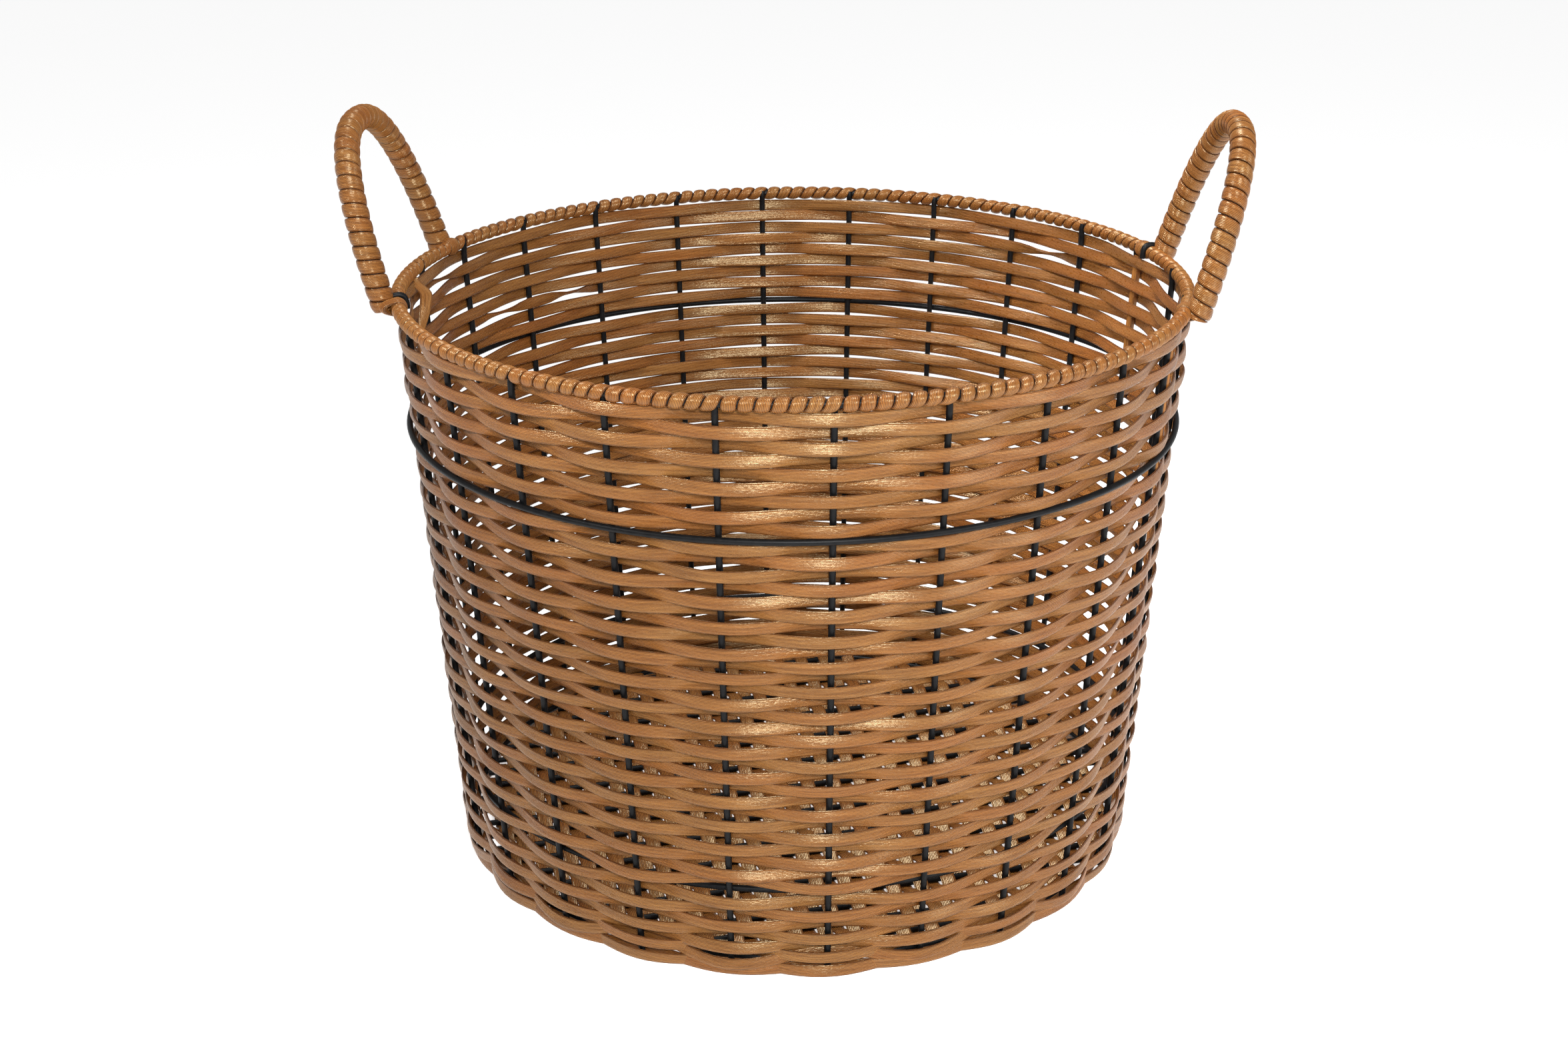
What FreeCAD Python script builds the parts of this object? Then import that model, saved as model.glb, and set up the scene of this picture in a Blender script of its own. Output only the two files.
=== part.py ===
"""Round woven laundry basket: a coated wire frame, a randed strand wall, a woven floor and two arched handles.

Millimetres. +Z is up, the basket stands on z = 0 with its axis on Z, and the handles lie near +X and -X.
Every row of the wall is a closed ring that passes outside one stake and inside the next.
"""
import FreeCAD, Part
import math
import os

# Frame
RIM_RADIUS = 200.0          # axis to the middle of the rim hoop
FOOT_RADIUS = 178.2         # axis to the middle of the stakes where they stand on the floor
STAKE_TOP_INSET = 1.4       # middle of the stakes inside the middle of the rim hoop, at its height
STAKE_COUNT = 24            # even, so that the rows alternate
FIRST_STAKE_ANGLE = 8.1     # degrees from +X
WIRE_DIAMETER = 3.2         # coated wire of the stakes, the three lower hoops and the floor
RIM_WIRE_DIAMETER = 4.0
STAKE_END_HEIGHT = 1.0      # lower end of a stake above the floor

# Strand, the flat ribbed cord that everything is woven and wrapped with
STRAND_WIDTH = 6.2
STRAND_THICKNESS = 1.8

# Wall
ROW_COUNT = 46
ROW_GAP = 0.35              # between one row and the next
ROWS_ABOVE_WAIST = 9        # rows between the waist hoop and the rim
ROWS_BELOW_LOWER = 9        # rows between the lower hoop and the floor, pressed down towards the foot
ROWS_BELOW_FOOT = 2         # rows under the foot hoop
LOWEST_ROW_HEIGHT = 2.6     # height of the lowest row, which is folded and pressed most
FLAT_HALF_ANGLE = 1.8       # degrees of a row that lie flat against a stake, each side of it
RIM_SEAT_GAP = 0.5          # top row to the rim wrap

# Clearances
TOUCH_GAP = 0.05            # pieces that bear on each other
HOOP_ROW_GAP = 0.2          # a hoop to the row above it and to the row below it
WRAP_STAKE_GAP = 0.25       # side of a stake to the rim wrap, where the wrap is open for it

# Floor
FLOOR_WIRE_PITCH = 14.5
FLOOR_STRAND_PITCH = 7.4
FLOOR_TURN = 17.0           # degrees from +Y to the run of the floor strands
FLOOR_FLAT = 2.5            # half of the length that a floor strand lies flat on a wire
FLOOR_END_GAP = 0.2         # end of a floor strand to the foot hoop and to the lowest row

# Handles
HANDLE_ANGLES = {"right": 2.5, "left": 177.5}
HANDLE_HALF_SPAN = 58.7     # half the distance between the two legs
HANDLE_RISE = 80.0          # rim hoop to the middle of the bar at the top
HANDLE_LEAN = 0.295         # outward travel for each unit of rise
HANDLE_SQUARENESS = 2.4     # 2 is an ellipse, more is squarer shoulders
HANDLE_TAPER = 0.07         # share of the half span lost from the rim to the top
HANDLE_BAR_DIAMETER = 13.0
HANDLE_CORE_DIAMETER = 6.0
HANDLE_FOOT_DROP = 7.0      # end of the core below the middle of the rim hoop
HANDLE_POINTS = 17          # corners of the arch, each rounded by an arc
TAIL_LENGTH = 78.0          # wire of a handle that runs down beside a stake
TAIL_STAKES = {"right": (-2, 1), "left": (10, 13)}   # stake numbers beside which the tails lie

WIRE_RADIUS = WIRE_DIAMETER / 2
HALF_STRAND = STRAND_THICKNESS / 2
STAKE_PITCH = 360.0 / STAKE_COUNT
WRAP_INNER_RADIUS = RIM_WIRE_DIAMETER / 2 + TOUCH_GAP
WRAP_OUTER_RADIUS = RIM_WIRE_DIAMETER / 2 + STRAND_THICKNESS
UP = FreeCAD.Vector(0, 0, 1)


def row_height(number):
    """Rows grow evenly from the lowest one to the lower hoop; above that they have the strand's full width."""
    share = min((number - 1) / (ROWS_BELOW_LOWER - 1), 1)
    return LOWEST_ROW_HEIGHT + (STRAND_WIDTH - LOWEST_ROW_HEIGHT) * share


def row_levels():
    """Bottom height of every row from the floor up, the heights of the hoops between them, and the top."""
    hoop_space = WIRE_DIAMETER + 2 * HOOP_ROW_GAP
    hoop_after = {ROWS_BELOW_FOOT: "foot", ROWS_BELOW_LOWER: "lower", ROW_COUNT - ROWS_ABOVE_WAIST: "waist"}
    bottoms = []
    hoops = {}
    height = 0.0
    for number in range(1, ROW_COUNT + 1):
        bottoms.append(height)
        height += row_height(number)
        if number in hoop_after:
            hoops[hoop_after[number]] = height + hoop_space / 2
            height += hoop_space
        elif number < ROW_COUNT:
            height += ROW_GAP
    return bottoms, hoops, height


ROW_BOTTOMS, HOOP_HEIGHTS, WALL_TOP = row_levels()
RIM_HEIGHT = WALL_TOP + RIM_SEAT_GAP + WRAP_OUTER_RADIUS
WALL_SLOPE = (RIM_RADIUS - STAKE_TOP_INSET - FOOT_RADIUS) / RIM_HEIGHT


def wall_radius(height):
    """Distance from the axis to the middle of the stakes."""
    return FOOT_RADIUS + WALL_SLOPE * height


def polar(radius, degrees, height):
    angle = math.radians(degrees)
    return FreeCAD.Vector(radius * math.cos(angle), radius * math.sin(angle), height)


def stake_angle(number):
    return FIRST_STAKE_ANGLE + number * STAKE_PITCH


def hollow(outer, inner):
    """The outer solid with the inner one taken out of it, as one solid."""
    return outer.cut(inner).Solids[0]


def save(name, solids):
    shape = solids[0] if len(solids) == 1 else Part.makeCompound(solids)
    shape.exportStep("parts/" + name + ".step")
    bad = [solid for solid in shape.Solids if not solid.isValid()]
    print(name, len(shape.Solids), "solids", round(shape.Volume), "mm3", "INVALID" if bad else "")


def weave_swing(radius):
    """How far the middle of a row stands from the middle of the stakes that it passes."""
    flat_sagitta = radius * (1 - math.cos(math.radians(FLAT_HALF_ANGLE)))
    lean = WALL_SLOPE * STRAND_WIDTH / 2
    return WIRE_RADIUS + HALF_STRAND + flat_sagitta + lean + TOUCH_GAP


def row_inner_radius(index):
    """Axis to the inner face of a row, where it passes inside a stake."""
    radius = wall_radius(ROW_BOTTOMS[index] + row_height(index + 1) / 2)
    return (radius - weave_swing(radius) - HALF_STRAND) * math.cos(math.radians(FLAT_HALF_ANGLE))


def weave_row(index):
    """One closed ring of strand. Rows with an odd index pass outside the even stakes."""
    bottom = ROW_BOTTOMS[index]
    height = row_height(index + 1)
    radius = wall_radius(bottom + height / 2)
    swing = weave_swing(radius)
    loops = []
    for offset in (HALF_STRAND, -HALF_STRAND):
        points = []
        for number in range(STAKE_COUNT):
            side = 1 if (number + index) % 2 == 1 else -1
            for turn in (-FLAT_HALF_ANGLE, FLAT_HALF_ANGLE):
                points.append(polar(radius + side * swing + offset, stake_angle(number) + turn, bottom))
        loops.append(Part.makePolygon(points + points[:1]))
    ring = Part.Face(loops[0]).cut(Part.Face(loops[1])).Faces[0]
    return ring.extrude(FreeCAD.Vector(0, 0, height))


def hoop_seat():
    """Middle of the leaning stakes to the middle of a hoop that bears on them."""
    return (WIRE_DIAMETER + TOUCH_GAP) / math.cos(math.atan(WALL_SLOPE))


def hoop(radius, height, diameter):
    return Part.makeTorus(radius, diameter / 2, FreeCAD.Vector(0, 0, height), UP)


def wall_wire(angle, low, high):
    """A straight wire in the wall, leaning as the wall leans."""
    start = polar(wall_radius(low), angle, low)
    end = polar(wall_radius(high), angle, high)
    return Part.makeCylinder(WIRE_RADIUS, (end - start).Length, start, end - start)


def stakes():
    top = RIM_HEIGHT - RIM_WIRE_DIAMETER / 2 - TOUCH_GAP
    return [wall_wire(stake_angle(number), STAKE_END_HEIGHT, top) for number in range(STAKE_COUNT)]


def rim_wrap():
    """The strand wound round the rim hoop, as one hollow length from each stake to the next."""
    opening = math.degrees(2 * (WIRE_RADIUS + WRAP_STAKE_GAP) / RIM_RADIUS)
    sweep = STAKE_PITCH - opening
    centre = FreeCAD.Vector(0, 0, RIM_HEIGHT)
    outer = Part.makeTorus(RIM_RADIUS, WRAP_OUTER_RADIUS, centre, UP, 0, 360, sweep)
    inner = Part.makeTorus(RIM_RADIUS, WRAP_INNER_RADIUS, centre, UP, 0, 360, sweep)
    length = hollow(outer, inner)
    lengths = []
    for number in range(STAKE_COUNT):
        copy = length.copy()
        copy.rotate(FreeCAD.Vector(0, 0, 0), UP, stake_angle(number) + opening / 2)
        lengths.append(copy)
    return lengths


def turned(shape):
    """A floor piece turned from its own X and Y to its place in the basket."""
    shape.rotate(FreeCAD.Vector(0, 0, 0), UP, FLOOR_TURN)
    return shape


def floor_lines(pitch, limit):
    """Evenly spaced places, with one in the middle, that stay inside the limit."""
    reach = int(limit / pitch)
    return [pitch * step for step in range(-reach, reach + 1)]


def floor_radius():
    """Axis to the inside of the foot hoop."""
    return wall_radius(HOOP_HEIGHTS["foot"]) - hoop_seat() - WIRE_RADIUS


def floor_wires():
    """Parallel wires that meet the inside of the foot hoop with both ends."""
    height = HOOP_HEIGHTS["foot"]
    wires = []
    for place in floor_lines(FLOOR_WIRE_PITCH, floor_radius() - FLOOR_WIRE_PITCH / 2):
        reach = math.sqrt(floor_radius() ** 2 - (abs(place) + WIRE_RADIUS) ** 2) - TOUCH_GAP
        start = FreeCAD.Vector(-reach, place, height)
        wires.append(turned(Part.makeCylinder(WIRE_RADIUS, 2 * reach, start, FreeCAD.Vector(1, 0, 0))))
    return wires


def floor_strands():
    """Strands across the wires, over one and under the next."""
    swing = WIRE_RADIUS + HALF_STRAND + TOUCH_GAP
    wires = floor_lines(FLOOR_WIRE_PITCH, floor_radius() - FLOOR_WIRE_PITCH / 2)
    strands = []
    limit = min(floor_radius(), row_inner_radius(ROWS_BELOW_FOOT - 1)) - FLOOR_END_GAP
    places = floor_lines(FLOOR_STRAND_PITCH, floor_radius() - FLOOR_STRAND_PITCH)
    for number, place in enumerate(places):
        reach = math.sqrt(limit ** 2 - (abs(place) + STRAND_WIDTH / 2) ** 2)
        line = []
        for wire_number, wire in enumerate(wires):
            side = 1 if (number + wire_number) % 2 == 0 else -1
            if abs(wire) < reach - FLOOR_FLAT:
                line += [(wire - FLOOR_FLAT, side * swing), (wire + FLOOR_FLAT, side * swing)]
        line[0] = (-reach, line[0][1])
        line[-1] = (reach, line[-1][1])
        height = HOOP_HEIGHTS["foot"]
        side_x = place - STRAND_WIDTH / 2
        over = [FreeCAD.Vector(side_x, along, height + level + HALF_STRAND) for along, level in line]
        under = [FreeCAD.Vector(side_x, along, height + level - HALF_STRAND) for along, level in line]
        outline = over + under[::-1]
        profile = Part.Face(Part.makePolygon(outline + outline[:1]))
        strands.append(turned(profile.extrude(FreeCAD.Vector(STRAND_WIDTH, 0, 0))))
    return strands


def handle_frame(angle):
    """Outward and sideways directions of a handle, and how far out its arch stands at the rim."""
    outward = polar(1, angle, 0)
    sideways = polar(1, angle + 90, 0)
    leg_radius = RIM_RADIUS + WRAP_OUTER_RADIUS + HANDLE_CORE_DIAMETER / 2 + TOUCH_GAP
    stand_off = math.sqrt(leg_radius ** 2 - HANDLE_HALF_SPAN ** 2)
    return outward, sideways, stand_off


def handle_point(angle, side, rise):
    """A point of a handle's middle line from its sideways place and its rise above the rim hoop."""
    outward, sideways, stand_off = handle_frame(angle)
    reach = stand_off + HANDLE_LEAN * max(rise, 0)
    return outward * reach + sideways * side + UP * (RIM_HEIGHT + rise)


def arch_points(angle):
    """Corners of the handle's middle line, from foot to foot."""
    points = [handle_point(angle, HANDLE_HALF_SPAN, -HANDLE_FOOT_DROP)]
    for step in range(HANDLE_POINTS):
        turn = math.pi * (step + 0.5) / HANDLE_POINTS
        power = 2 / HANDLE_SQUARENESS
        across = math.copysign(abs(math.cos(turn)) ** power, math.cos(turn))
        rise = HANDLE_RISE * math.sin(turn) ** power
        narrowing = 1 - HANDLE_TAPER * rise / HANDLE_RISE
        points.append(handle_point(angle, HANDLE_HALF_SPAN * across * narrowing, rise))
    points.append(handle_point(angle, -HANDLE_HALF_SPAN, -HANDLE_FOOT_DROP))
    return points


def rounded_path(points):
    """Straight runs joined by tangent arcs, each arc as large as its two runs allow."""
    edges = []
    start = points[0]
    for before, corner, after in zip(points, points[1:], points[2:]):
        back = before - corner
        ahead = after - corner
        setback = 0.45 * min(back.Length, ahead.Length)
        arc_start = corner + back.normalize() * setback
        arc_end = corner + ahead.normalize() * setback
        half_turn = (math.pi - back.getAngle(ahead)) / 2
        bisector = (back + ahead).normalize()
        radius = setback / math.tan(half_turn)
        middle = corner + bisector * (radius / math.cos(half_turn) - radius)
        edges.append(Part.LineSegment(start, arc_start).toShape())
        edges.append(Part.Arc(arc_start, middle, arc_end).toShape())
        start = arc_end
    edges.append(Part.LineSegment(start, points[-1]).toShape())
    return Part.Wire(edges)


def bar(path, points, radius):
    """A round bar along a path."""
    direction = points[1] - points[0]
    section = Part.Wire([Part.makeCircle(radius, points[0], direction)])
    return path.makePipeShell([section], True, False)


def handle(angle):
    """The core, which runs down outside the rim wrap, and the wound bar, which sits on the rim wrap like a saddle."""
    points = arch_points(angle)
    path = rounded_path(points)
    core = bar(path, points, HANDLE_CORE_DIAMETER / 2)
    wrap = hollow(bar(path, points, HANDLE_BAR_DIAMETER / 2), bar(path, points, HANDLE_CORE_DIAMETER / 2 + TOUCH_GAP))
    size = 2 * (RIM_RADIUS + HANDLE_BAR_DIAMETER)
    below = Part.makeBox(size, size, RIM_HEIGHT, FreeCAD.Vector(-size / 2, -size / 2, 0))
    rim = Part.makeTorus(RIM_RADIUS, WRAP_OUTER_RADIUS + TOUCH_GAP, FreeCAD.Vector(0, 0, RIM_HEIGHT), UP)
    return core, hollow(hollow(wrap, below), rim)


def handle_tails():
    """The ends of the handle wires in the wall, each beside a stake on the side nearer to its handle."""
    top = WALL_TOP
    side_angle = math.degrees((WIRE_DIAMETER + 2 * TOUCH_GAP) / wall_radius(top - TAIL_LENGTH))
    tails = []
    for first, last in TAIL_STAKES.values():
        for number, side in ((first, side_angle), (last, -side_angle)):
            tails.append(wall_wire(stake_angle(number) + side, top - TAIL_LENGTH, top))
    return tails


def main():
    os.makedirs("parts", exist_ok=True)
    save("rim_hoop", [hoop(RIM_RADIUS, RIM_HEIGHT, RIM_WIRE_DIAMETER)])
    save("rim_wrap", rim_wrap())
    for name, side in (("waist", 1), ("lower", -1), ("foot", -1)):
        height = HOOP_HEIGHTS[name]
        save(name + "_hoop", [hoop(wall_radius(height) + side * hoop_seat(), height, WIRE_DIAMETER)])
    save("stakes", stakes())
    for index in range(ROW_COUNT):
        save("wall_row_%02d" % (index + 1), [weave_row(index)])
    save("floor_wires", floor_wires())
    save("floor_strands", floor_strands())
    for name, angle in HANDLE_ANGLES.items():
        core, wrap = handle(angle)
        save("handle_core_" + name, [core])
        save("handle_wrap_" + name, [wrap])
    save("handle_tails", handle_tails())
    print("rim height", round(RIM_HEIGHT, 2), "wall top", round(WALL_TOP, 2), "hoops", HOOP_HEIGHTS)


main()
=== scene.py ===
"""Round woven laundry basket: ribbed strand woven on a coated wire frame, with two wound handles.

Metres, in the frame of the CAD model: +Z is up, the basket's axis is Z, the handles lie near +X and -X.
Every piece is laid where the CAD node that it stands for lies.
"""
import math
import random

import bpy
import numpy as np
from mathutils import Matrix, Vector


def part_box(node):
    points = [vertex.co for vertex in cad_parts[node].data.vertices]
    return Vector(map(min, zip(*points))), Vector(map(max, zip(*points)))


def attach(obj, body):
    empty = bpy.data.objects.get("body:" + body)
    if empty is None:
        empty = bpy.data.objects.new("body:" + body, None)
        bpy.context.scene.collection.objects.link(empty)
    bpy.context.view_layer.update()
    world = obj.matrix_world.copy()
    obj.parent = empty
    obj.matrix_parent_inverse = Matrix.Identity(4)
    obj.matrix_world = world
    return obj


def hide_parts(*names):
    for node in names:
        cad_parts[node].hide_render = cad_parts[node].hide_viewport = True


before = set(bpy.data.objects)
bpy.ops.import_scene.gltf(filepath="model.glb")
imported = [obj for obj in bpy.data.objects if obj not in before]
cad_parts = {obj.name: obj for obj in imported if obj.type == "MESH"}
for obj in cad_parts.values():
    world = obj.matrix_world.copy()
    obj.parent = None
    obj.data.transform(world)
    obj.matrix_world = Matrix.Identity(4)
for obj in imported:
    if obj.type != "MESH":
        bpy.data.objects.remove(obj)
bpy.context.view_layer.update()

# Strand
STRAND_WIDTH = 0.0065
STRAND_THICKNESS = 0.0018
RIB_COUNT = 22                  # round the whole section
RIB_DEPTH = 0.00014
CROWNING = 0.35                 # share of the thickness lost from the middle of the strand to its edges
EDGE_PAINTED_SHADE = 0.65                # by how much the ribs' light colour fades on the rounded edges, painting shade there

# Wire frame
STAKE_COUNT = 24
FIRST_STAKE = math.radians(8.1)
WIRE_RADIUS = 0.0016
RIM_WIRE_RADIUS = 0.002
STAKE_PITCH = 2 * math.pi / STAKE_COUNT

# Wall
ROW_COUNT = 46
RING_STEPS = 192
WEAVE_SWING = 0.0029            # middle of a row to the middle of the stakes that it passes
ROWS_BELOW_LOWER = 9            # rows pressed down between the lower hoop and the floor
LOWEST_CREST = 0.0031           # middle of the lowest rows where they pass outside a stake
CREST_STEP = 0.0032             # rise of the outer passes above the second row, growing with each row
CREST_GROWTH = 1.27
FOOT_DROOP = 0.0022             # droop of the rows just above the lower hoop
DROOP_ROWS = 3                  # rows in which that droop falls to about a third
INNER_RISE = 0.0008             # how much higher a row stands inside a stake than outside the next
FOLDED_SWING = 0.75             # share of the swing that is left in the lowest row
HEIGHT_DRIFT = 0.0002           # wander of a row's height round the basket
HEIGHT_UNEVEN = 0.0003          # and from stake to stake
SWING_UNEVEN = 0.10             # as a share of the swing
ROLL_DRIFT = math.radians(3)
ROLL_UNEVEN = math.radians(6)
TWISTS = {45: (166,), 44: (45,), 40: (150, 134)}    # rows that turn on edge, and at how many degrees
TWIST = math.radians(78)
TWIST_SPAN = math.radians(4)

# Rim winding
RIM_TURNS = 7                   # between two stakes
RIM_SQUEEZE = 0.0004            # by which each pair of turns is pushed together on the inner side
RIM_STRAND_WIDTH = 0.0068       # the strand spreads a little where it is wound
RIM_EDGE_DROP = 0.0005          # how far its edges hug the hoop below its middle
RIM_FIRST_FACE = math.radians(235)   # where a turn starts, on the inner side below the hoop
RIM_UPRIGHT = 0.0005            # by which the turns stand more upright on the outer side
RIM_UPRIGHT_FACE = math.radians(20)
RIM_QUARTERS = 4
WINDING_STEPS = 24              # faces round one turn

# Handles, as in the CAD model
HANDLE_ANGLES = {"right": math.radians(2.5), "left": math.radians(177.5)}
HANDLE_HALF_SPAN = 0.0587
HANDLE_RISE = 0.080
HANDLE_LEAN = 0.295
HANDLE_SQUARENESS = 2.4
HANDLE_TAPER = 0.07
HANDLE_RADIUS = 0.0065
HANDLE_CORE_RADIUS = 0.003
HANDLE_LINING_RADIUS = 0.0049   # what the strand is wound on, wire with its lining
HANDLE_TURN_PITCH = 0.0069
HANDLE_STRAND_WIDTH = 0.0066
HANDLE_EDGE_DROP = 0.0001
SHINGLE = 0.05                  # how much one edge of a turn rides on the turn beside it
HANDLE_FOOT_DROP = 0.0025       # end of the winding below the middle of the rim
HANDLE_FOOT_TUCK = 0.0012       # by which that end is drawn in to the rim
ARCH_POINTS = 1201
LINING_STEP = 40                # of those points, every how many the lining is bent through
BAND_WIDTH = 0.0092             # the wide turn on the rim beside each foot of a handle
BAND_OFFSETS = {"right": (0.0075, 0.0), "left": (0.0062, 0.0)}   # along the rim from each leg
BAND_REACH = {"right": (0.0, 1.0), "left": (1.0, 1.0)}   # how much further out, round the handle's wire
NECK_RADIUS = 0.0016            # bare wire of a handle where it crosses the rim
NECK_OFFSETS = {"right": (0.0015, None), "left": (0.0002, None)}   # None where strand covers it
NECK_PATH = ((0.0056, -0.001), (0.0040, 0.0036), (-0.0020, 0.0046),  # out from the rim and up
             (-0.0046, 0.0022), (-0.0046, -0.0028))

# Ends of the handles inside the wall
TAIL_BARS = {"tail_far": (1, -0.0014), "tail_near": (-2, 0.0036)}   # stake and distance beside it
TAIL_LENGTH = 0.080
TAIL_STEPS = 40
TAIL_THICKENING = 2.1           # the covered bars are thicker and narrower than plain strand
TAIL_NARROWING = 0.8
LOOSE_LENGTH = 0.5              # the loose end, as a share of a tail
LOOSE_STAND_OFF = 0.0025        # how much further it stands from the wall where it is turned
LOOSE_TWIST = math.radians(65)
LOOSE_START = math.radians(178)
LOOSE_TRAVEL = math.radians(13)

# Floor, as in the CAD model
FLOOR_WIRE_PITCH = 0.0145
FLOOR_STRAND_PITCH = 0.0074
FLOOR_TURN = math.radians(17)
FLOOR_SPREAD = 1.2              # the floor strands lie flatter and wider than those of the wall
FLOOR_STEPS = 110

WIRE_SIDES = 12
HOOP_STEPS = 192
HOOP_SIDES = 14
CREASE_ANGLE = math.radians(24)
WIRE_CREASE_ANGLE = math.radians(50)
GRAIN_SHIFT = 50                # range from which each strand's place in the pattern is drawn
WELD = 1e-6


# ---------------------------------------------------------------- places read from the CAD model

def ring_place(node, wire_radius):
    """Radius and height of the middle line of a round hoop."""
    low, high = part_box(node)
    return (high.x - low.x) / 2 - wire_radius, (high.z + low.z) / 2


def middle_height(node):
    low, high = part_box(node)
    return (low.z + high.z) / 2


RIM_RADIUS, RIM_HEIGHT = ring_place("rim_hoop", RIM_WIRE_RADIUS)
FOOT_HOOP_RADIUS, FOOT_HOOP_HEIGHT = ring_place("foot_hoop", WIRE_RADIUS)
WAIST_HOOP_RADIUS, WAIST_HOOP_HEIGHT = ring_place("waist_hoop", WIRE_RADIUS)
LOWER_HOOP_HEIGHT = middle_height("lower_hoop")
FOOT_WALL_RADIUS = FOOT_HOOP_RADIUS + 2 * WIRE_RADIUS
WAIST_WALL_RADIUS = WAIST_HOOP_RADIUS - 2 * WIRE_RADIUS
WALL_SLOPE = (WAIST_WALL_RADIUS - FOOT_WALL_RADIUS) / (WAIST_HOOP_HEIGHT - FOOT_HOOP_HEIGHT)
WALL_LEAN = math.atan(WALL_SLOPE)


def wall_radius(height):
    """Distance from the axis to the middle of the stakes."""
    return FOOT_WALL_RADIUS + WALL_SLOPE * (height - FOOT_HOOP_HEIGHT)


# ---------------------------------------------------------------- camera and light

CAMERA_AZIMUTH = math.radians(-3.1585)      # of the line of sight, from +Y towards +X
CAMERA_PITCH = math.radians(-21.3752)
CAMERA_ROLL = math.radians(-0.2269)
CAMERA_PLACE = Vector((0.0567, -1.1158, 0.60365))
CAMERA_LENS = 51.638
CAMERA_SENSOR = 36


def add_camera():
    bpy.ops.object.camera_add(location=CAMERA_PLACE)
    camera = bpy.context.object
    camera.name = "camera"
    heading = Matrix.Rotation(-CAMERA_AZIMUTH, 4, "Z")
    tilt = Matrix.Rotation(math.pi / 2 + CAMERA_PITCH, 4, "X")
    roll = Matrix.Rotation(CAMERA_ROLL, 4, "Z")
    camera.matrix_world = Matrix.Translation(CAMERA_PLACE) @ heading @ tilt @ roll
    camera.data.lens = CAMERA_LENS
    camera.data.sensor_width = CAMERA_SENSOR
    camera.data.clip_start = 0.01
    bpy.context.scene.camera = camera


def add_light(name, place, size, power, target=Vector((0, 0, 0.17)), spread=math.pi):
    bpy.ops.object.light_add(type="AREA", location=place)
    light = bpy.context.object
    light.name = name
    light.data.size = size
    light.data.energy = power
    light.data.spread = spread
    light.rotation_euler = (target - Vector(place)).to_track_quat("-Z", "Y").to_euler()


def light_studio():
    scene = bpy.context.scene
    scene.view_settings.view_transform = "Standard"
    world = bpy.data.worlds.new("studio")
    scene.world = world
    world.use_nodes = True
    background = world.node_tree.nodes["Background"]
    background.inputs["Color"].default_value = (1.0, 1.0, 1.0, 1.0)
    background.inputs["Strength"].default_value = 0.33
    add_light("key", (0.20, -1.40, 0.98), 0.3, 25.0)
    add_light("right_side", (1.25, -0.75, 0.75), 0.6, 9.0)
    inner_right = Vector((0.17, 0.02, 0.2))
    add_light("over_mouth", (-0.16, 0.0, 1.1), 0.35, 1.6, inner_right, math.radians(60))
    inner_back = Vector((0.15, 0.08, 0.16))
    add_light("inner_wall", (-0.80, -0.65, 1.0), 0.15, 0.24, inner_back, math.radians(16))


add_camera()
light_studio()


# ---------------------------------------------------------------- tools of the bench

def deselect():
    if bpy.context.object and bpy.context.object.mode != "OBJECT":
        bpy.ops.object.mode_set(mode="OBJECT")
    bpy.ops.object.select_all(action="DESELECT")


def pick(piece):
    deselect()
    piece.select_set(True)
    bpy.context.view_layer.objects.active = piece


def points_of(piece):
    values = np.empty(len(piece.data.vertices) * 3)
    piece.data.vertices.foreach_get("co", values)
    return values.reshape(-1, 3).T


def move_points(piece, x, y, z):
    piece.data.vertices.foreach_set("co", np.column_stack((x, y, z)).ravel())
    piece.data.update()


def give(piece, name, values):
    """Stores a number, or three, on every point of a piece for its material to read."""
    kind, field = ("FLOAT", "value") if values.ndim == 1 else ("FLOAT_VECTOR", "vector")
    layer = piece.data.attributes.get(name) or piece.data.attributes.new(name, kind, "POINT")
    layer.data.foreach_set(field, values.astype(np.float32).ravel())


def close_and_smooth(piece):
    pick(piece)
    bpy.ops.object.mode_set(mode="EDIT")
    bpy.ops.mesh.select_all(action="SELECT")
    bpy.ops.mesh.remove_doubles(threshold=WELD)
    bpy.ops.mesh.fill_holes(sides=0)
    bpy.ops.mesh.select_all(action="SELECT")
    bpy.ops.mesh.normals_make_consistent(inside=False)
    bpy.ops.object.mode_set(mode="OBJECT")
    bpy.ops.object.shade_smooth_by_angle(angle=CREASE_ANGLE)


def sweep(piece, axis, turn, advance, steps, laps=1):
    """Turns a section about an axis while it advances, and leaves a closed mesh."""
    pick(piece)
    screw = piece.modifiers.new("sweep", "SCREW")
    screw.axis = axis
    screw.angle = turn
    screw.screw_offset = advance
    screw.steps = steps
    screw.render_steps = steps
    screw.iterations = laps
    bpy.ops.object.modifier_apply(modifier=screw.name)
    close_and_smooth(piece)


def copy_of(piece, name):
    """A copy with its own mesh."""
    copy = piece.copy()
    copy.data = piece.data.copy()
    copy.name = name
    copy.data.name = name
    bpy.context.scene.collection.objects.link(copy)
    return copy


def settle(piece, slot, material, *nodes):
    """Gives a finished piece its material, hangs it on the root body, and hides the CAD nodes that it stands
    for.
    """
    piece.data.materials.clear()
    piece.data.materials.append(material)
    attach(piece, "root")
    if nodes:
        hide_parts(*nodes)


def grain_shift(chance):
    """A new place in the strand's pattern, so that no two strands look the same."""
    return chance.uniform(0, GRAIN_SHIFT)


def smooth_step(value):
    value = np.clip(value, 0, 1)
    return value * value * (3 - 2 * value)


def uneven(chance, angle, strength):
    """A seamless wander that is drawn anew at every stake."""
    draws = np.array([chance.gauss(0, strength) for stake in range(STAKE_COUNT)])
    place = (angle - FIRST_STAKE) / STAKE_PITCH
    stake = np.floor(place).astype(int)
    share = smooth_step(place - stake)
    return draws[stake % STAKE_COUNT] * (1 - share) + draws[(stake + 1) % STAKE_COUNT] * share


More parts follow.
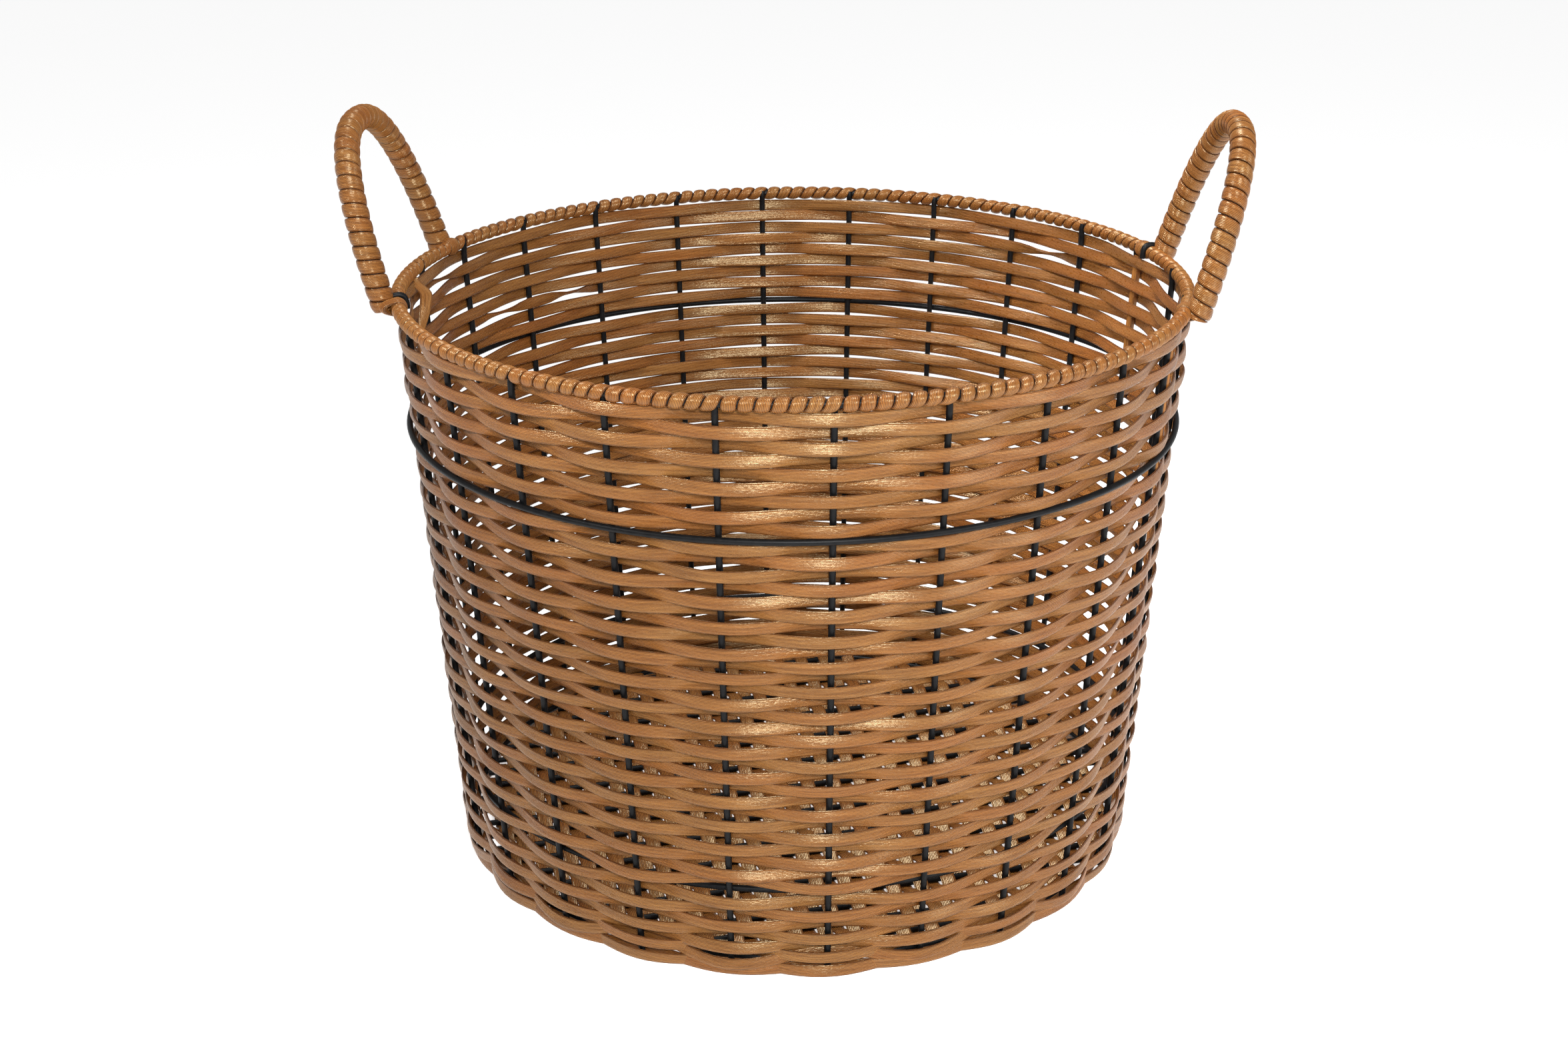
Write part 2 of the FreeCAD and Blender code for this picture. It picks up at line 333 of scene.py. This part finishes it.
def drift(chance, angle, strength, waves):
    """A seamless wander round the basket, of about the given strength."""
    total = np.zeros_like(angle)
    for wave in waves:
        total += chance.gauss(0, 1) * np.cos(wave * angle + chance.uniform(0, 2 * math.pi))
    return total * strength / math.sqrt(len(waves) / 2)


# ---------------------------------------------------------------- strand

def section_outline():
    """The ribbed section of a strand: places across and out from its middle, and how much each is a rib, less
    on the rounded edges, where that share paints shade.
    """
    radius = STRAND_THICKNESS / 2
    flat = STRAND_WIDTH - STRAND_THICKNESS
    half_lap = flat + math.pi * radius
    outline = []
    for number in range(2 * RIB_COUNT):
        side = 1 if number < RIB_COUNT else -1
        distance = half_lap * (number % RIB_COUNT) / RIB_COUNT
        turn = min(max((distance - flat / 2) / radius, 0), math.pi)
        on_edge = flat / 2
        if turn == 0:
            on_edge = distance
        if turn == math.pi:
            on_edge = half_lap - distance
        rib = 1 - number % 2
        reach = radius - RIB_DEPTH * (1 - rib)
        across = side * (on_edge + reach * math.sin(turn))
        crown = 1 - CROWNING * (2 * across / STRAND_WIDTH) ** 2
        out = side * reach * math.cos(turn) * crown
        # the rib share fades on the rounded edges, so the material paints shade there
        outline.append((across, out, rib * (1 - EDGE_PAINTED_SHADE * math.sin(turn))))
    return outline


def add_section(name, place_point):
    """A section of strand, laid by a function of its places across and out."""
    deselect()
    outline = section_outline()
    bpy.ops.mesh.primitive_circle_add(vertices=len(outline), radius=STRAND_WIDTH / 2)
    piece = bpy.context.object
    piece.name = name
    piece.data.name = name
    for vertex, (across, out, rib) in zip(piece.data.vertices, outline):
        vertex.co = place_point(across, out)
    # crown: rib share, low in the grooves and on the rounded edges, where the material paints shade
    give(piece, "crown", np.array([float(rib) for across, out, rib in outline]))
    return piece


def plain_ring():
    """One ring of strand round the axis, standing on edge, with what each of its points is in the section."""
    radius = wall_radius(RIM_HEIGHT / 2)
    ring = add_section("plain_ring", lambda across, out: (radius + out, 0, across))
    sweep(ring, "Z", 2 * math.pi, 0, RING_STEPS)
    x, y, z = points_of(ring)
    angle = np.arctan2(y, x)
    out = np.hypot(x, y) - radius
    return ring, angle, z, out


def crest_height(number, middle):
    """Height of a row where it passes outside a stake. The rows at the foot droop there."""
    if number <= ROWS_BELOW_LOWER:
        return LOWEST_CREST + CREST_STEP * max(number - 2, 0) ** CREST_GROWTH
    return middle - FOOT_DROOP * math.exp((ROWS_BELOW_LOWER + 1 - number) / DROOP_ROWS)


def woven_row(ring, angle, across, out, number, chance):
    """A row of the wall: the ring laid outside one stake and inside the next, a little unevenly."""
    node = "wall_row_%02d" % number
    row = copy_of(ring, "row_%02d" % number)
    side = 1 if number % 2 == 0 else -1
    pass_side = side * np.cos(STAKE_COUNT / 2 * (angle - FIRST_STAKE))
    crest = crest_height(number, middle_height(node))
    inner = crest + INNER_RISE
    for hoop_height in (FOOT_HOOP_HEIGHT, LOWER_HOOP_HEIGHT):
        clear = hoop_height + WIRE_RADIUS + STRAND_WIDTH / 2
        if hoop_height - WIRE_RADIUS < crest < clear:
            inner = max(inner, clear)
    loose = min(number / ROWS_BELOW_LOWER, 1)
    height = crest + (1 - pass_side) / 2 * (inner - crest)
    wander = drift(chance, angle, HEIGHT_DRIFT * loose, (1, 2, 3, 5, 7, 11))
    height += wander + uneven(chance, angle, HEIGHT_UNEVEN * loose)
    swing = WEAVE_SWING * (1 + uneven(chance, angle, SWING_UNEVEN))
    roll = drift(chance, angle, ROLL_DRIFT, (3, 7, 12)) + uneven(chance, angle, ROLL_UNEVEN) - WALL_LEAN
    for place in TWISTS.get(number, ()):
        away = (angle - math.radians(place) + math.pi) % (2 * math.pi) - math.pi
        roll = roll + TWIST * np.exp(-(away / TWIST_SPAN) ** 2)
    if number == 1:
        swing = swing * FOLDED_SWING
    radius = wall_radius(height) + pass_side * swing + out * np.cos(roll) - across * np.sin(roll)
    z = np.maximum(height + out * np.sin(roll) + across * np.cos(roll), 0)
    x = radius * np.cos(angle)
    y = radius * np.sin(angle)
    move_points(row, x, y, z)
    give(row, "grain", np.column_stack((across + grain_shift(chance), x, y)))
    settle(row, "strand", STRAND_LOOK, node)


def wind(name, radius, pitch, laps, width, edge_drop, shingle=0.0):
    """Strand wound round the X axis, with each point's winding angle, place across and reach."""
    middle = radius - STRAND_THICKNESS / 2

    def hug(across, out):
        place = across * width / STRAND_WIDTH
        drop = edge_drop * (2 * place / width) ** 2 - shingle * place
        return (place, 0, middle + out - drop)

    piece = add_section(name, hug)
    sweep(piece, "X", 2 * math.pi, pitch, WINDING_STEPS, laps)
    x, y, z = points_of(piece)
    turn = np.arctan2(-y, z)
    lap = np.round(x / pitch - turn / (2 * math.pi))
    winding = turn + 2 * math.pi * lap
    across = x - pitch * winding / (2 * math.pi)
    return piece, winding, across, np.hypot(y, z)


# ---------------------------------------------------------------- rim

def rim_winding():
    """The strand wound round the rim, in quarters. On the inner side it leaves room for each stake."""
    radius = RIM_WIRE_RADIUS + STRAND_THICKNESS
    pitch = RIM_RADIUS * STAKE_PITCH / RIM_TURNS
    laps = RIM_TURNS * STAKE_COUNT // RIM_QUARTERS
    pattern, winding, across, reach = wind(
        "plain_winding", radius, pitch, laps, RIM_STRAND_WIDTH, RIM_EDGE_DROP)
    give(pattern, "grain", np.column_stack((across, winding * radius, np.zeros_like(across))))
    turns = winding / (2 * math.pi)
    from_middle = turns - (RIM_TURNS - 1) / 2 - RIM_TURNS * np.floor((turns + 0.5) / RIM_TURNS)
    inner_side = (1 + np.cos(winding)) / 2
    face = winding + RIM_FIRST_FACE
    along = pitch / 2 + pitch * turns - RIM_SQUEEZE * from_middle * inner_side
    along -= RIM_UPRIGHT * np.sin(face - RIM_UPRIGHT_FACE)
    ring = RIM_RADIUS + reach * np.cos(face)
    height = RIM_HEIGHT + reach * np.sin(face)
    for quarter in range(RIM_QUARTERS):
        piece = copy_of(pattern, "rim_winding_%d" % (quarter + 1))
        angle = FIRST_STAKE + quarter * 2 * math.pi / RIM_QUARTERS + (along + across) / RIM_RADIUS
        move_points(piece, ring * np.cos(angle), ring * np.sin(angle), height)
        settle(piece, "strand", STRAND_LOOK, "rim_wrap")
    bpy.data.objects.remove(pattern)


# ---------------------------------------------------------------- handles

LEG_RADIUS = RIM_RADIUS + RIM_WIRE_RADIUS + STRAND_THICKNESS + HANDLE_CORE_RADIUS
LEG_TURN = math.asin(HANDLE_HALF_SPAN / LEG_RADIUS)     # from the middle of a handle to each leg


def handle_line(side):
    """The middle line of a handle as closely spaced points, and the direction square to its plane."""
    heading = HANDLE_ANGLES[side]
    outward = np.array((math.cos(heading), math.sin(heading), 0))
    sideways = np.array((-math.sin(heading), math.cos(heading), 0))
    up = np.array((0, 0, 1.0))
    stand_off = math.sqrt(LEG_RADIUS ** 2 - HANDLE_HALF_SPAN ** 2)
    turn = np.linspace(0, math.pi, ARCH_POINTS)
    power = 2 / HANDLE_SQUARENESS
    across = np.sign(np.cos(turn)) * np.abs(np.cos(turn)) ** power
    rise = HANDLE_RISE * np.sin(turn) ** power
    across = HANDLE_HALF_SPAN * across * (1 - HANDLE_TAPER * rise / HANDLE_RISE)
    across = np.concatenate(([HANDLE_HALF_SPAN], across, [-HANDLE_HALF_SPAN]))
    rise = np.concatenate(([-HANDLE_FOOT_DROP], rise, [-HANDLE_FOOT_DROP]))
    reach = stand_off + HANDLE_LEAN * rise
    reach[[0, -1]] = stand_off - HANDLE_FOOT_TUCK
    points = np.outer(reach, outward) + np.outer(across, sideways) + np.outer(RIM_HEIGHT + rise, up)
    plane = np.cross(sideways, up + HANDLE_LEAN * outward)
    return points, plane / np.linalg.norm(plane)


def lay_along(piece, points, plane, along, reach, face):
    """Bends a wound piece from a straight line to a line of points that lies in one plane."""
    steps = np.linalg.norm(np.diff(points, axis=0), axis=1)
    length = np.concatenate(([0], np.cumsum(steps)))
    tangent = np.gradient(points, length, axis=0)
    places = [np.interp(along, length, points[:, axis]) for axis in range(3)]
    heading = np.column_stack([np.interp(along, length, tangent[:, axis]) for axis in range(3)])
    heading /= np.linalg.norm(heading, axis=1)[:, None]
    second = np.cross(heading, plane)
    out = np.cos(face) * reach
    off = np.sin(face) * reach
    laid = [places[axis] + out * plane[axis] + off * second[:, axis] for axis in range(3)]
    move_points(piece, *laid)


def line_length(points):
    return float(np.linalg.norm(np.diff(points, axis=0), axis=1).sum())


def handle_winding(side):
    """The strand wound round a handle, its first and last turns cut level at the rim."""
    points, plane = handle_line(side)
    length = line_length(points)
    laps = round(length / HANDLE_TURN_PITCH) + 1
    pitch = length / (laps - 1)
    name = "handle_winding_" + side
    piece, winding, across, reach = wind(
        name, HANDLE_RADIUS, pitch, laps, HANDLE_STRAND_WIDTH, HANDLE_EDGE_DROP, SHINGLE)
    give(piece, "grain", np.column_stack((across, winding * HANDLE_RADIUS, np.zeros_like(across))))
    free = pitch * (winding / (2 * math.pi) - 0.5) + across
    level = np.clip(free, 0, length)
    beyond = np.abs(free - level)
    reach = reach - np.minimum(beyond * 0.5, STRAND_THICKNESS * 0.7)
    lay_along(piece, points, plane, level + (free - level) * 0.05, reach, -winding)
    close_and_smooth(piece)
    settle(piece, "strand", STRAND_LOOK, "handle_wrap_" + side)


def handle_lining(side):
    """What the handle is wound on, dark between the turns."""
    points = handle_line(side)[0]
    margin = LINING_STEP // 2
    inner = np.concatenate((points[:1], points[margin:-margin:LINING_STEP], points[-1:]))
    lining = bent_wire("handle_lining_" + side, inner, HANDLE_LINING_RADIUS)
    settle(lining, "wire", WIRE_LOOK, "handle_core_" + side)


def root_bands():
    """A wide turn of strand on the rim beside each foot of the handles."""
    radius = RIM_WIRE_RADIUS + 1.5 * STRAND_THICKNESS
    pattern, winding, across, reach = wind(
        "plain_band", radius, STRAND_THICKNESS, 1, BAND_WIDTH, RIM_EDGE_DROP)
    give(pattern, "grain", np.column_stack((across, winding * radius, np.zeros_like(across))))
    face = winding + RIM_FIRST_FACE
    height = RIM_HEIGHT + reach * np.sin(face)
    for side, heading in HANDLE_ANGLES.items():
        for end, way, offset, more in zip("ab", (1, -1), BAND_OFFSETS[side], BAND_REACH[side]):
            stretch = 1 + more * smooth_step(np.cos(face))
            ring = RIM_RADIUS + reach * np.cos(face) * stretch
            band = copy_of(pattern, "root_band_%s_%s" % (side, end))
            lead = STRAND_THICKNESS * winding / (2 * math.pi)
            angle = heading + way * LEG_TURN + (way * offset + across + lead) / RIM_RADIUS
            move_points(band, ring * np.cos(angle), ring * np.sin(angle), height)
            settle(band, "strand", STRAND_LOOK)
    bpy.data.objects.remove(pattern)


def handle_necks():
    """The wire of the handles where it goes bare over the rim to the inside of the wall."""
    for side, heading in HANDLE_ANGLES.items():
        for end, way, offset in zip("ab", (1, -1), NECK_OFFSETS[side]):
            if offset is None:
                continue
            angle = heading + way * (LEG_TURN + offset / RIM_RADIUS)
            points = []
            for out, up in NECK_PATH:
                ring = RIM_RADIUS + out
                points.append((ring * math.cos(angle), ring * math.sin(angle), RIM_HEIGHT + up))
            neck = bent_wire("handle_neck_%s_%s" % (side, end), points, NECK_RADIUS)
            settle(neck, "wire", WIRE_LOOK)


def tails(chance):
    """The ends of the handles in the wall: two bars covered with strand, and one loose strand end."""
    strip = add_section("plain_tail", lambda across, out: (out, across, -TAIL_LENGTH))
    sweep(strip, "Z", 0, TAIL_LENGTH, TAIL_STEPS)
    out, across, down = points_of(strip)
    share = -down / TAIL_LENGTH
    top = RIM_HEIGHT - RIM_WIRE_RADIUS - STRAND_THICKNESS
    for name, (stake, beside) in TAIL_BARS.items():
        bar = copy_of(strip, name)
        height = top + down
        radius = wall_radius(height) + out * TAIL_THICKENING
        angle = FIRST_STAKE + stake * STAKE_PITCH + (beside + across * TAIL_NARROWING) / RIM_RADIUS
        move_points(bar, radius * np.cos(angle), radius * np.sin(angle), height)
        give(bar, "grain", np.column_stack((across + grain_shift(chance), down, out)))
        settle(bar, "strand", STRAND_LOOK, "handle_tails")
    loose = copy_of(strip, "tail_loose")
    height = top + STRAND_THICKNESS + down * LOOSE_LENGTH
    turned = 1 - smooth_step(share * 2 - 0.5)
    inward = (WEAVE_SWING + 1.1 * STRAND_THICKNESS + LOOSE_STAND_OFF * turned) * smooth_step(share * 5)
    twist = LOOSE_TWIST * turned
    radius = wall_radius(height) - inward + out * np.cos(twist) + across * np.sin(twist)
    beside = across * np.cos(twist) - out * np.sin(twist)
    angle = LOOSE_START + LOOSE_TRAVEL * share ** 1.5 + beside / RIM_RADIUS
    move_points(loose, radius * np.cos(angle), radius * np.sin(angle), height)
    give(loose, "grain", np.column_stack((across + grain_shift(chance), down, out)))
    settle(loose, "strand", STRAND_LOOK, "handle_tails")
    bpy.data.objects.remove(strip)


# ---------------------------------------------------------------- wires

def bent_wire(name, points, radius):
    """A round wire along a smooth line through some points, as a closed mesh."""
    deselect()
    curve = bpy.data.curves.new(name, "CURVE")
    curve.dimensions = "3D"
    curve.bevel_depth = radius
    curve.bevel_resolution = WIRE_SIDES // 4 - 1
    curve.use_fill_caps = True
    spline = curve.splines.new("NURBS")
    spline.points.add(len(points) - 1)
    for place, point in zip(spline.points, points):
        place.co = (*point, 1)
    spline.order_u = 3
    spline.use_endpoint_u = True
    spline.resolution_u = 6
    piece = bpy.data.objects.new(name, curve)
    bpy.context.scene.collection.objects.link(piece)
    pick(piece)
    bpy.ops.object.convert(target="MESH")
    piece = bpy.context.object
    pick(piece)
    bpy.ops.object.mode_set(mode="EDIT")
    bpy.ops.mesh.select_all(action="SELECT")
    bpy.ops.mesh.remove_doubles(threshold=WELD)
    bpy.ops.mesh.normals_make_consistent(inside=False)
    bpy.ops.object.mode_set(mode="OBJECT")
    bpy.ops.object.shade_smooth_by_angle(angle=WIRE_CREASE_ANGLE)
    return piece


def stakes():
    """One stake, bent at the top to lie on the inner side of the rim wire, and its copies."""
    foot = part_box("stakes")[0].z
    heights = [foot, 0.06, 0.12, 0.18, 0.24, RIM_HEIGHT - 0.012, RIM_HEIGHT - 0.006]
    points = [(wall_radius(height), 0, height) for height in heights]
    beside_rim = RIM_RADIUS - RIM_WIRE_RADIUS
    points += [(beside_rim, 0, RIM_HEIGHT - 0.003), (beside_rim, 0, RIM_HEIGHT)]
    points += [(beside_rim + 0.0005, 0, RIM_HEIGHT + 0.0015)]
    pattern = bent_wire("plain_stake", points, WIRE_RADIUS)
    for number in range(STAKE_COUNT):
        stake = copy_of(pattern, "stake_%02d" % (number + 1))
        stake.data.transform(Matrix.Rotation(FIRST_STAKE + number * STAKE_PITCH, 4, "Z"))
        settle(stake, "wire", WIRE_LOOK, "stakes")
    bpy.data.objects.remove(pattern)


def hoop(name, node, wire_radius, wander, chance):
    """A hoop of wire, slightly out of true."""
    radius, height = ring_place(node, wire_radius)
    deselect()
    bpy.ops.mesh.primitive_torus_add(
        location=(0, 0, height), major_radius=radius, minor_radius=wire_radius,
        major_segments=HOOP_STEPS, minor_segments=HOOP_SIDES)
    piece = bpy.context.object
    piece.name = name
    bpy.ops.object.transform_apply(location=True, rotation=True, scale=True)
    x, y, z = points_of(piece)
    angle = np.arctan2(y, x)
    grow = 1 + drift(chance, angle, wander, (2, 3, 5)) / radius
    move_points(piece, x * grow, y * grow, z + drift(chance, angle, wander, (1, 2, 4)))
    bpy.ops.object.shade_smooth()
    settle(piece, "wire", WIRE_LOOK, node)


# ---------------------------------------------------------------- floor

def floor_lines(pitch, limit):
    reach = int(limit / pitch)
    return [pitch * step for step in range(-reach, reach + 1)]


def woven_floor(chance):
    """Strands over one wire and under the next, in the ring of the foot hoop."""
    inside = FOOT_HOOP_RADIUS - WIRE_RADIUS
    turn = Matrix.Rotation(FLOOR_TURN, 4, "Z")
    wires = floor_lines(FLOOR_WIRE_PITCH, inside - FLOOR_WIRE_PITCH / 2)
    for number, place in enumerate(wires):
        reach = math.sqrt(inside ** 2 - (abs(place) + WIRE_RADIUS) ** 2)
        ends = [(end * reach, place, FOOT_HOOP_HEIGHT) for end in (-1, -0.3, 0.3, 1)]
        wire = bent_wire("floor_wire_%02d" % (number + 1), ends, WIRE_RADIUS)
        wire.data.transform(turn)
        settle(wire, "wire", WIRE_LOOK, "floor_wires")
    strip = add_section("plain_strip", lambda across, out: (across, -inside, out))
    sweep(strip, "Y", 0, 2 * inside, FLOOR_STEPS)
    across, along, out = points_of(strip)
    swing = WIRE_RADIUS + STRAND_THICKNESS / 2
    places = floor_lines(FLOOR_STRAND_PITCH, inside - FLOOR_STRAND_PITCH)
    for number, place in enumerate(places):
        strand = copy_of(strip, "floor_strand_%02d" % (number + 1))
        side = 1 if (number + len(wires) // 2) % 2 == 0 else -1
        reach = math.sqrt((inside - 0.0002) ** 2 - (abs(place) + STRAND_WIDTH / 2) ** 2)
        y = along * reach / inside
        wave = side * swing * np.cos(math.pi * y / FLOOR_WIRE_PITCH)
        move_points(strand, place + across * FLOOR_SPREAD, y, FOOT_HOOP_HEIGHT + wave + out)
        strand.data.transform(turn)
        give(strand, "grain", np.column_stack((across + grain_shift(chance), y, np.zeros_like(y))))
        settle(strand, "strand", STRAND_LOOK, "floor_strands")
    bpy.data.objects.remove(strip)


# ---------------------------------------------------------------- finishes

def new_material(name):
    material = bpy.data.materials.new(name)
    material.use_nodes = True
    nodes = material.node_tree.nodes
    return material, nodes, material.node_tree.links, nodes["Principled BSDF"]


def noise(nodes, links, source, scale, detail):
    """Noise over a stretched pattern space."""
    stretch = nodes.new("ShaderNodeMapping")
    stretch.inputs["Scale"].default_value = scale
    links.new(source, stretch.inputs["Vector"])
    texture = nodes.new("ShaderNodeTexNoise")
    texture.inputs["Scale"].default_value = 1.0
    texture.inputs["Detail"].default_value = detail
    links.new(stretch.outputs["Vector"], texture.inputs["Vector"])
    return texture.outputs["Fac"]


def ramp(nodes, links, source, stops):
    """A colour ramp from (place, colour) stops."""
    node = nodes.new("ShaderNodeValToRGB")
    elements = node.color_ramp.elements
    while len(elements) < len(stops):
        elements.new(0.5)
    for element, (place, colour) in zip(elements, stops):
        element.position = place
        element.color = (*colour, 1)
    links.new(source, node.inputs["Fac"])
    return node.outputs["Color"]


def strand_look():
    """Satin ribbed strand: tan ribs over darker grooves, with long streaks and small sparkle. The grooves'
    dark red brown is partly the strand's own lines and partly painted shade, and the rounded edges are
    painted darker as shade.
    """
    material, nodes, links, shader = new_material("ribbed_strand")
    crown = nodes.new("ShaderNodeAttribute")
    crown.attribute_name = "crown"
    grain = nodes.new("ShaderNodeAttribute")
    grain.attribute_name = "grain"
    streaks = noise(nodes, links, grain.outputs["Vector"], (900, 45, 45), detail=3)
    flecks = noise(nodes, links, grain.outputs["Vector"], (1300, 500, 500), detail=2)
    rib_colour = ramp(nodes, links, streaks, [(0.3, (0.176, 0.064, 0.0135)), (0.7, (0.296, 0.127, 0.031))])
    # groove colour: partly the strand's own red brown lines, partly painted shade in the grooves
    groove_colour_and_shade = ramp(nodes, links, streaks, [(0.3, (0.035, 0.0085, 0.003)), (0.7, (0.075, 0.020, 0.006))])
    # blend from painted shade (grooves and rounded edges) to the rib colour, by the rib share stored in crown
    groove_and_edge_shade_blend = nodes.new("ShaderNodeMapRange")
    groove_and_edge_shade_blend.interpolation_type = "SMOOTHSTEP"
    groove_and_edge_shade_blend.inputs["From Min"].default_value = 0.12
    groove_and_edge_shade_blend.inputs["From Max"].default_value = 0.55
    links.new(crown.outputs["Fac"], groove_and_edge_shade_blend.inputs["Value"])
    mix = nodes.new("ShaderNodeMix")
    mix.data_type = "RGBA"
    links.new(groove_and_edge_shade_blend.outputs["Result"], mix.inputs["Factor"])
    links.new(groove_colour_and_shade, mix.inputs["A"])
    links.new(rib_colour, mix.inputs["B"])
    tone = noise(nodes, links, grain.outputs["Vector"], (40, 8, 8), detail=2)
    tint = ramp(nodes, links, tone, [(0.36, (1.0, 0.87, 0.78)), (0.64, (1.0, 1.05, 1.1))])
    tinted = nodes.new("ShaderNodeMix")
    tinted.data_type = "RGBA"
    tinted.blend_type = "MULTIPLY"
    tinted.inputs["Factor"].default_value = 1.0
    links.new(mix.outputs["Result"], tinted.inputs["A"])
    links.new(tint, tinted.inputs["B"])
    links.new(tinted.outputs["Result"], shader.inputs["Base Color"])
    shine = nodes.new("ShaderNodeMapRange")
    shine.inputs["To Min"].default_value = 0.18
    shine.inputs["To Max"].default_value = 0.42
    links.new(flecks, shine.inputs["Value"])
    shader.inputs["Specular IOR Level"].default_value = 0.55
    shader.inputs["Specular Tint"].default_value = (1.0, 0.82, 0.50, 1)
    links.new(shine.outputs["Result"], shader.inputs["Roughness"])
    bump = nodes.new("ShaderNodeBump")
    bump.inputs["Strength"].default_value = 0.5
    bump.inputs["Distance"].default_value = 0.0003
    links.new(flecks, bump.inputs["Height"])
    links.new(bump.outputs["Normal"], shader.inputs["Normal"])
    return material


def wire_look():
    """Steel wire in a satin black plastic coat."""
    material, nodes, links, shader = new_material("black_coat")
    place = nodes.new("ShaderNodeTexCoord")
    patches = noise(nodes, links, place.outputs["Object"], (300, 300, 300), detail=4)
    colour = ramp(nodes, links, patches, [(0.35, (0.003, 0.003, 0.0035)), (0.75, (0.007, 0.007, 0.007))])
    links.new(colour, shader.inputs["Base Color"])
    shine = nodes.new("ShaderNodeMapRange")
    shine.inputs["To Min"].default_value = 0.35
    shine.inputs["To Max"].default_value = 0.5
    links.new(patches, shine.inputs["Value"])
    shader.inputs["Specular IOR Level"].default_value = 0.14
    links.new(shine.outputs["Result"], shader.inputs["Roughness"])
    bump = nodes.new("ShaderNodeBump")
    bump.inputs["Strength"].default_value = 0.15
    bump.inputs["Distance"].default_value = 0.0002
    links.new(patches, bump.inputs["Height"])
    links.new(bump.outputs["Normal"], shader.inputs["Normal"])
    return material


def floor_look():
    material, *_, shader = new_material("pale_floor")
    shader.inputs["Base Color"].default_value = (0.97, 0.97, 0.97, 1)
    shader.inputs["Roughness"].default_value = 0.9
    shader.inputs["Emission Color"].default_value = (1, 1, 1, 1)
    shader.inputs["Emission Strength"].default_value = 0.6
    return material


STRAND_LOOK = strand_look()
WIRE_LOOK = wire_look()


# ---------------------------------------------------------------- the basket

def studio_floor():
    deselect()
    bpy.ops.mesh.primitive_plane_add(size=60)
    floor = bpy.context.object
    floor.name = "studio_floor"
    floor.data.materials.append(floor_look())


def wall():
    chance = random.Random(11)
    ring, angle, across, out = plain_ring()
    for number in range(1, ROW_COUNT + 1):
        woven_row(ring, angle, across, out, number, chance)
    bpy.data.objects.remove(ring)


def wire_frame():
    chance = random.Random(5)
    hoop("rim_wire", "rim_hoop", RIM_WIRE_RADIUS, 0.0, chance)
    hoop("waist_wire", "waist_hoop", WIRE_RADIUS, 0.0003, chance)
    hoop("lower_wire", "lower_hoop", WIRE_RADIUS, 0.0002, chance)
    hoop("foot_wire", "foot_hoop", WIRE_RADIUS, 0.0, chance)
    stakes()


studio_floor()
wall()
rim_winding()
handle_winding("right")
handle_winding("left")
handle_lining("right")
handle_lining("left")
root_bands()
handle_necks()
tails(random.Random(8))
wire_frame()
woven_floor(random.Random(3))
